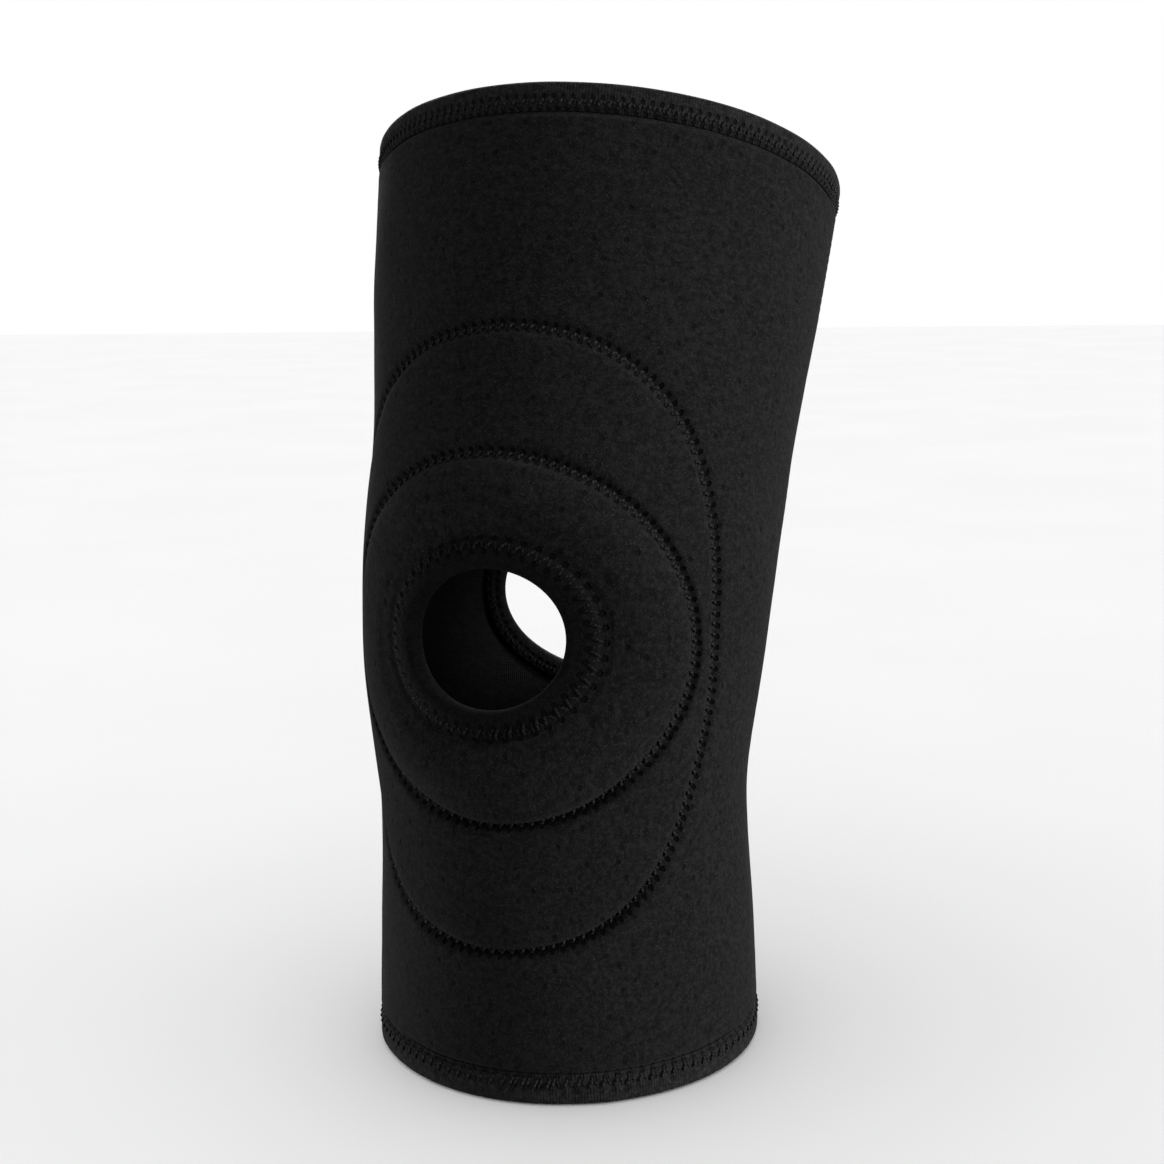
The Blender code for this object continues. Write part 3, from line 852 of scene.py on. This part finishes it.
def panel_grid(rows_between):
    """Angles and distances of the panel's grid, and which outline each row starts from."""
    column = np.arange(-HALF_COLUMNS, HALF_COLUMNS)
    turn = column * math.pi / HALF_COLUMNS
    outlines = (
        patella_rim(turn, EDGE),
        patella_rim(turn, RING_END),
        on_outline(turn, BUTTRESS),
        on_outline(turn, SUPPORT),
        border(column, INSET, SEAM_INSET, INSET),
        border(column, EDGE, BUTT_GAP, EDGE),
    )
    angle, along, start = [], [], []
    for i, (rows, slow_start, slow_end) in enumerate(rows_between):
        share = eased(rows, slow_start, slow_end)[:, None]
        (angle_in, along_in), (angle_out, along_out) = outlines[i], outlines[i + 1]
        angle.append(angle_in + (angle_out - angle_in) * share)
        along.append(along_in + (along_out - along_in) * share)
        start += [i + float(x) for x in share[:, 0]]
    angle.append(outlines[-1][0][None])
    along.append(outlines[-1][1][None])
    start.append(float(len(rows_between)))
    return np.concatenate(angle), np.concatenate(along), np.array(start)


def sagging(angle, along):
    """How far the pads' lower edges hang over their stitches."""
    drop = 0.0
    for outline, middle, most in LOWER_EDGES:
        depth = np.maximum(inside(angle, along, outline), 0.0) / SAG_REACH
        drop = drop + most * lower_edge(angle, along, outline, middle) * depth * np.exp(1 - depth)
    return drop


def round_patella(stitching, turn, distance):
    """Corner values of the UV map "stitch" for rows that run round the patella."""
    values = stitching.uv(turn, distance)
    step = np.diff(values[..., 0], axis=1)
    values[:, 1:, 0] += np.cumsum(np.where(step < -stitching.count / 2, stitching.count, 0.0), axis=1)
    return grid_uv(values, closed_rows=False, period=stitching.count)


def along_border(sewn, angle, along):
    """The same for rows along the hems and round the popliteal opening, whichever is nearer."""
    line = POPLITEAL_HOLE[0] + POPLITEAL_ROWS[0], POPLITEAL_HOLE[1] + POPLITEAL_ROWS[0]
    across = from_front(angle - math.pi) * POPLITEAL_HALF / line[0]
    turn = np.arctan2(across, (along - POPLITEAL) / line[1])
    from_back_hole = from_popliteal(angle, along)
    values = (
        sewn["top_hem"].uv(-angle, LENGTH - along),
        sewn["bottom_hem"].uv(angle, along),
        sewn["popliteal"].uv(turn, from_back_hole),
    )
    nearest = np.argmin([np.abs(value[..., 1]) for value in values], axis=0)[..., None]
    return grid_uv(np.choose(nearest, values), closed_rows=False)


def panel_stitches(sewn, angle, along, start):
    """Each band of rows reads the stitches that run through it."""
    wide = PATELLA_HOLE[0] + PATELLA_ROWS[0] * RIM_SPREAD
    high = PATELLA_HOLE[1] + PATELLA_ROWS[0] / FRONT_STRETCH
    rim_line = (wide, high, 0.0, 2.0)
    bands = (
        ("patella", turn_of(angle, along, rim_line), from_patella(angle, along), 0.0, 1.3),
        ("buttress", turn_of(angle, along, BUTTRESS), -inside(angle, along, BUTTRESS), 1.3, 2.5),
        ("support", turn_of(angle, along, SUPPORT), -inside(angle, along, SUPPORT), 2.5, 3.4),
    )
    corners = []
    for name, turn, distance, first, last in bands:
        kept = np.flatnonzero((start >= first) & (start < last))
        these = np.append(kept, kept[-1] + 1)
        corners.append(round_patella(sewn[name], turn[these], distance[these]))
    rest = start >= bands[-1][-1]
    corners.append(along_border(sewn, angle[rest], along[rest]))
    return np.concatenate(corners)


def fabric_place(angle, along):
    return np.stack([angle * KNEE_HALF, along], axis=-1)


def add_panel(sewn, face, lining):
    """The neoprene panel in one piece, wrapped round the leg and butted together at the back."""
    angle, along, start = panel_grid(OUTER_ROWS)
    in_angle, in_along, _ = panel_grid(INNER_ROWS)
    in_angle, in_along = in_angle[::-1], in_along[::-1]
    outside = on_leg(angle, along - sagging(angle, along), outer_face(angle, along))
    inside_it = on_leg(in_angle, in_along, inner_face(in_angle, in_along))
    rows, columns = angle.shape
    all_rows = rows + len(in_angle)
    faces = grid_faces(all_rows, columns)
    points = np.concatenate([outside, inside_it])
    made = add_object("neoprene_panel", points, faces, face)
    made.data.materials.append(lining)
    inner = np.repeat(np.arange(all_rows) >= rows - 1, columns)
    made.data.polygons.foreach_set("material_index", inner.astype(np.int32))

    laid = np.concatenate([fabric_place(angle, along), fabric_place(in_angle, in_along)])
    add_uv(made, "fabric", grid_uv(laid))
    stitch = panel_stitches(sewn, angle, along, start)
    unused = np.full(((all_rows - rows + 1) * columns * 4, 2), 1.0)
    add_uv(made, "stitch", np.concatenate([stitch, unused]))
    # The UV map "fold" carries the painted shade in the folds under the pads' lower edges; it is 0 on the
    # lining.
    fold = crease_share(angle, along)
    fold = grid_uv(np.stack([fold, fold], axis=-1), closed_rows=False)
    add_uv(made, "fold", np.concatenate([fold, unused * 0]))
    return made


# ---------------------------------------------------------------- pads, tapes and threads


def add_layer(name, start, end, rows, outside, inside_it, look):
    """A layer with two faces, from this far outside the patella's edge to an outline, grown this much."""
    turn = np.arange(PAD_COLUMNS) * 2 * math.pi / PAD_COLUMNS
    share = np.linspace(0.0, 1.0, rows + 1)[:, None]
    (angle_in, along_in), (angle_out, along_out) = patella_rim(turn, start), on_outline(turn, *end)
    angle = angle_in + (angle_out - angle_in) * share
    along = along_in + (along_out - along_in) * share
    outer = on_leg(angle, along, outside(angle, along))
    inner = on_leg(angle, along, inside_it(angle, along))
    faces = grid_faces(2 * rows + 2, PAD_COLUMNS)
    made = add_object(name, np.concatenate([outer, inner[::-1]]), faces, look)
    laid = fabric_place(angle, along)
    add_uv(made, "fabric", grid_uv(np.concatenate([laid, laid[::-1]])))
    return made


def add_support_pad(look):
    end = (SUPPORT, 0.0)
    return add_layer("support_layer", EDGE, end, 60, over_support, under_support, look)


def add_foam_ring(look):
    start, end = PATELLA_STITCH_END + LAYER_GAP, (BUTTRESS, -CONTOUR_ROWS[1])
    return add_layer("foam_ring", start, end, 30, foam_face, foam_back, look)


def add_cover(look):
    end = (BUTTRESS, CONTOUR_ROWS[1])
    return add_layer("ring_lining", EDGE, end, 40, cover_face, cover_back, look)


def tape_section(depth):
    """Points round a folded tape: distance from the fold, place through the stack, height above it."""
    sides = np.linspace(depth, EDGE, TAPE_ROWS)
    bends = np.linspace(0.0, math.pi, FOLD_ROWS + 2)[1:-1]
    reach = EDGE - TAPE_THICK
    section = [(d, 1.0, tape_height(d, depth)) for d in sides]
    section += [(EDGE * (1 - math.sin(b)), math.cos(b), tape_height(EDGE, depth)) for b in bends]
    section += [(d, -1.0, tape_height(d, depth)) for d in sides[::-1]]
    section += [(d, -1.0, LAYER_GAP) for d in sides]
    section += [(EDGE - reach * math.sin(b), math.cos(b), LAYER_GAP) for b in bends[::-1]]
    section += [(d, 1.0, LAYER_GAP) for d in sides[::-1]]
    return section[::-1]


def add_tape(name, stitching, lining, columns, look):
    """A tape folded over an edge. Lining is the thickness of the layers that it takes in under the panel."""
    turn = np.arange(columns) * 2 * math.pi / columns - math.pi
    rows, stitches = [], []
    for distance, through, height in tape_section(stitching.tape_depth):
        angle, along = stitching.lay(turn, max(distance, EDGE))
        high = outer_face(angle, along) + height
        low = inner_face(angle, along) - lining - height
        angle, along = stitching.lay(turn, distance)
        rows.append(on_leg(angle, along, (high + low) / 2 + (high - low) / 2 * through))
        stitches.append(stitching.uv(turn, distance))
    rows = np.array(rows)
    faces = grid_faces(len(rows), columns)
    made = add_object(name, rows, faces, look)

    run = run_along(np.append(rows[0], rows[0][:1], axis=0))
    wrap = run_along(rows[:, 0])
    laid = np.stack(np.broadcast_arrays(run[None, :-1], wrap[:, None]), axis=-1)
    add_uv(made, "fabric", grid_uv(laid, period=run[-1]))
    values = grid_uv(np.array(stitches), period=stitching.count)
    add_uv(made, "stitch", values)
    return made


def add_seam_strip(name, low, high, look):
    """A flat tape over the seam, inside the sleeve."""
    along = np.linspace(low, high, 80)[:, None]
    across = np.linspace(-1.0, 1.0, 17)[None, :]
    angle = math.pi + across * SEAM_TAPE_WIDTH / 2 / half_width_at(along)
    along = np.broadcast_to(along, angle.shape)
    rounded = 0.7 * TAPE_THICK * (1 - across**8)
    near = inner_face(angle, along) - LAYER_GAP
    outer = on_leg(angle, along, near)
    inner = on_leg(angle, along, near - 0.3 * TAPE_THICK - rounded)
    section = np.concatenate([outer, inner[:, ::-1]], axis=1)
    rows, columns = section.shape[:2]
    faces = grid_faces(rows, columns, closed_rows=False) + end_caps(rows, columns)
    made = add_object(name, section, faces, look)
    laid = fabric_place(angle, along)
    corners = grid_uv(np.concatenate([laid, laid[:, ::-1]], axis=1), closed_rows=False)
    add_uv(made, "fabric", np.concatenate([corners, np.zeros((2 * columns, 2))]))
    add_uv(made, "stitch", np.ones((len(corners) + 2 * columns, 2)))
    return made


def tube(points, normals, radius, closed):
    """Vertices, faces and (along, around) of a round thread on these points."""
    if closed:
        ahead = np.roll(points, -1, axis=0) - np.roll(points, 1, axis=0)
    else:
        ahead = np.gradient(points, axis=0)
    ahead /= np.linalg.norm(ahead, axis=1, keepdims=True)
    across = np.cross(ahead, normals)
    across /= np.linalg.norm(across, axis=1, keepdims=True)
    up = np.cross(across, ahead)
    turn = np.arange(THREAD_SIDES) * 2 * math.pi / THREAD_SIDES
    ring = up[:, None] * np.cos(turn)[None, :, None] + across[:, None] * np.sin(turn)[None, :, None]
    vertices = points[:, None] + radius * ring
    faces = grid_faces(len(points), THREAD_SIDES, closed)
    run = run_along(points)
    around = np.arange(THREAD_SIDES + 1) / THREAD_SIDES
    values = np.stack(np.broadcast_arrays(run[:, None], around[None, :]), axis=-1)
    corners = grid_uv(values, closed, closed_columns=False)
    if not closed:
        faces += end_caps(len(points), THREAD_SIDES)
        corners = np.concatenate([corners, np.zeros((2 * THREAD_SIDES, 2))])
    return vertices.reshape(-1, 3), faces, corners


def add_thread(name, strands, look, radius=THREAD_RADIUS):
    """A row of stitching, of one or more strands of (points, normals, closed)."""
    vertices, faces, corners = [], [], []
    start = 0
    for points, normals, closed in strands:
        more, quads, values = tube(points, normals, radius, closed)
        vertices.append(more)
        faces += [[start + i for i in face] for face in quads]
        corners.append(values)
        start += len(more)
    made = add_object(name, np.concatenate(vertices), faces, look)
    add_uv(made, "fabric", np.concatenate(corners))
    return made


def sewn_tape(name, stitching, end, lining, columns, tape_look, thread_look):
    """A tape and the stitches that hold it, seen from both sides. The stitches end at this turn."""
    tape = add_tape(f"{name}_tape", stitching, lining, columns, tape_look)
    strands = [
        stitching.strand(outer_face, 1, OUTER_LIFT),
        stitching.overlap(end),
        stitching.strand(inner_face, -1, INNER_LIFT, below=lining),
    ]
    return tape, add_thread(f"{name}_thread", strands, thread_look)


def add_seam_thread(name, low, high, look):
    """A flatlock seam: two crossing zigzags between two straight rows."""
    zigzag = Stitching(seam_line, SEAM_ROWS, SEAM_PITCH, low, high)
    strands = [zigzag.strand(outer_face, 1, SEAM_THREAD, closed=False, start=start) for start in (0.0, 0.5)]
    for side in (-1, 1):
        row = Stitching(seam_line, (side * SEAM_ROWS[1], 0.0001), SEAM_PITCH / 2, low, high)
        strands.append(row.strand(outer_face, 1, SEAM_THREAD, closed=False))
    return add_thread(name, strands, look, radius=SEAM_THREAD)


# ---------------------------------------------------------------- the brace


def sewn_rows():
    return {
        "top_hem": Stitching(top_hem, TOP_HEM_ROWS, HEM_PITCH, on_tape=True),
        "bottom_hem": Stitching(bottom_hem, BOTTOM_HEM_ROWS, BOTTOM_HEM_PITCH, on_tape=True),
        "patella": Stitching(patella_rim, PATELLA_ROWS, PATELLA_PITCH, on_tape=True),
        "popliteal": Stitching(popliteal_rim, POPLITEAL_ROWS, POPLITEAL_PITCH, on_tape=True),
        "buttress": Stitching(buttress_edge, CONTOUR_ROWS, CONTOUR_PITCH),
        "support": Stitching(support_edge, CONTOUR_ROWS, CONTOUR_PITCH),
    }


def add_brace():
    sewn = sewn_rows()
    knit = knit_face()
    lining = lining_knit()
    tape_look = tape_weave("tape_weave", 0.0050, 0.7)
    # Painted shade: the patella's tape is the same tape painted much darker, standing in for the shade of the
    # valley round the patella.
    rim_shaded_look = tape_weave("rim_tape_painted_shade", 0.0014, 1.0)
    calf_look = tape_weave("calf_tape_weave", 0.0054, 0.25)
    thread_look = twisted_thread("edge_thread", 0.0014, 0.0050, 0.0080)
    # Painted shade: the patella's thread is the same thread painted darker, for the shade of that valley.
    rim_thread_shaded_look = twisted_thread("rim_thread_painted_shade", 0.0007, 0.0022, 0.0040)
    # Painted highlight: the contours' thread is the same thread painted lighter, for the light that its
    # raised beads catch.
    contour_highlit_look = twisted_thread("contour_thread_painted_highlight", 0.0016, 0.0070, 0.0110)
    pads_lining = SUPPORT_THICK + COVER_THICK + 2 * LAYER_GAP

    panel = add_panel(sewn, knit, lining)
    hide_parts("thigh_sleeve", "calf_sleeve", "knee_sleeve_right", "knee_sleeve_left")
    support = add_support_pad(lining)
    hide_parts("support_pad")
    foam = add_foam_ring(closed_cell_foam())
    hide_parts("buttress_ring")
    cover = add_cover(lining)
    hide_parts("buttress_cover")

    bending = [panel, support, foam, cover]
    thigh, calf, sewn_on = [], [], []
    edges = (
        ("top_hem", "top_binding", 2.6, 0.0, HEM_COLUMNS, thigh, (tape_look, thread_look)),
        ("bottom_hem", "bottom_binding", 0.30, 0.0, HEM_COLUMNS, calf, (calf_look, thread_look)),
        ("patella", "patella_binding", 3.1, pads_lining, HOLE_COLUMNS, bending, (rim_shaded_look, rim_thread_shaded_look)),
        ("popliteal", "popliteal_binding", 3.1, 0.0, HOLE_COLUMNS, bending, (tape_look, thread_look)),
    )
    for name, node, end, layers, columns, group, looks in edges:
        tape, thread = sewn_tape(name, sewn[name], end, layers, columns, *looks)
        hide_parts(node)
        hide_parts(f"{name}_stitching")
        group += [tape, thread]
        sewn_on += [tape, thread]

    contours = (
        ("ring_thread", "buttress", cover_back, "buttress_stitching"),
        ("support_thread", "support", under_support, "support_pad_stitching"),
    )
    for name, row, under, node in contours:
        strands = [sewn[row].strand(outer_face, 1, CONTOUR_LIFT), sewn[row].strand(under, -1, INNER_LIFT)]
        thread = add_thread(name, strands, contour_highlit_look)
        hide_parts(node)
        bending.append(thread)
        sewn_on.append(thread)

    hem_end = TAPE_DEPTH + 0.0006
    hole_end = POPLITEAL_HOLE[1] + POPLITEAL_STITCH_END + 0.0006
    seams = (
        ("upper_seam", POPLITEAL + hole_end, LENGTH - hem_end),
        ("lower_seam", hem_end, POPLITEAL - hole_end),
    )
    for name, low, high in seams:
        thread = add_seam_thread(f"{name}_thread", low, high, thread_look)
        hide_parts(f"{name}_stitching")
        strip = add_seam_strip(f"{name}_strip", low, high, tape_look)
        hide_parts(f"{name}_tape")
        bending += [thread, strip]
        sewn_on += [thread, strip]

    for piece in bending:
        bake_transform(piece)
    for piece in thigh:
        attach(piece, "thigh")
    for piece in calf:
        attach(piece, "calf")


# ---------------------------------------------------------------- the studio


def add_floor(look):
    half = 6.0
    corners = [(-half, -half, 0.0), (half, -half, 0.0), (half, half, 0.0), (-half, half, 0.0)]
    mesh = bpy.data.meshes.new("studio_floor")
    mesh.from_pydata(corners, [], [(0, 1, 2, 3)])
    mesh.materials.append(look)
    floor = bpy.data.objects.new("studio_floor", mesh)
    bpy.context.scene.collection.objects.link(floor)


def towards(azimuth, elevation):
    """A unit vector: azimuth 0 is the front and 90 the +X side."""
    turn, rise = math.radians(azimuth), math.radians(elevation)
    return Vector((math.sin(turn) * math.cos(rise), -math.cos(turn) * math.cos(rise), math.sin(rise)))


def aim_light(light, away, lit):
    """An object for a light that comes from this side and falls on these pieces alone."""
    lamp = bpy.data.objects.new(light.name, light)
    lamp.rotation_euler = away.to_track_quat("Z", "Y").to_euler()
    lamp.light_linking.receiver_collection = lit
    lamp.light_linking.blocker_collection = lit
    bpy.context.scene.collection.objects.link(lamp)
    return lamp


def add_sun(name, strength, softness, azimuth, elevation, lit):
    light = bpy.data.lights.new(name, "SUN")
    light.energy = strength
    light.angle = math.radians(softness)
    aim_light(light, towards(azimuth, elevation), lit)


def add_low_light(power, size, azimuth, distance, height, lit):
    light = bpy.data.lights.new("low_light", "AREA")
    light.shape = "DISK"
    light.energy = power
    light.size = size
    away = towards(azimuth, 0)
    lamp = aim_light(light, away, lit)
    lamp.location = away * distance + Vector((0.0, 0.0, height))
    lamp.visible_camera = False


def light_studio():
    """An even white room, and soft lights that are aimed at the brace and not at the floor."""
    world = bpy.data.worlds.new("studio")
    world.use_nodes = True
    background = world.node_tree.nodes["Background"]
    background.inputs["Color"].default_value = (1.0, 1.0, 1.0, 1.0)
    background.inputs["Strength"].default_value = 1.0
    bpy.context.scene.world = world
    lit = bpy.data.collections.new("brace_pieces")
    for piece in bpy.context.scene.collection.objects:
        if piece.type == "MESH" and piece.name != "studio_floor":
            lit.objects.link(piece)
    for name, strength, softness, azimuth, elevation in SUNS:
        add_sun(name, strength, softness, azimuth, elevation, lit)
    add_low_light(*LOW_LIGHT, lit)
    bpy.context.scene.view_settings.view_transform = "Standard"


def add_camera():
    azimuth, roll = math.radians(CAMERA_AZIMUTH), math.radians(CAMERA_ROLL)
    back = towards(CAMERA_AZIMUTH, CAMERA_ELEVATION)
    right = Vector((math.cos(azimuth), math.sin(azimuth), 0.0))
    up = back.cross(right)
    turned_right = right * math.cos(roll) + up * math.sin(roll)
    turned_up = up * math.cos(roll) - right * math.sin(roll)
    target = Vector((0.0, CAMERA_TARGET[0] - MIDDLE, CAMERA_TARGET[1]))
    camera = bpy.data.objects.new("camera", bpy.data.cameras.new("camera"))
    turned = Matrix((turned_right, turned_up, back)).transposed()
    camera.matrix_world = Matrix.Translation(target + back * CAMERA_DISTANCE) @ turned.to_4x4()
    camera.data.lens = CAMERA_LENS
    camera.data.sensor_width = 36.0
    camera.data.shift_x, camera.data.shift_y = CAMERA_SHIFT
    camera.data.clip_start = 0.01
    bpy.context.scene.collection.objects.link(camera)
    bpy.context.scene.camera = camera


add_brace()
add_floor(floor_paint())
light_studio()
add_camera()
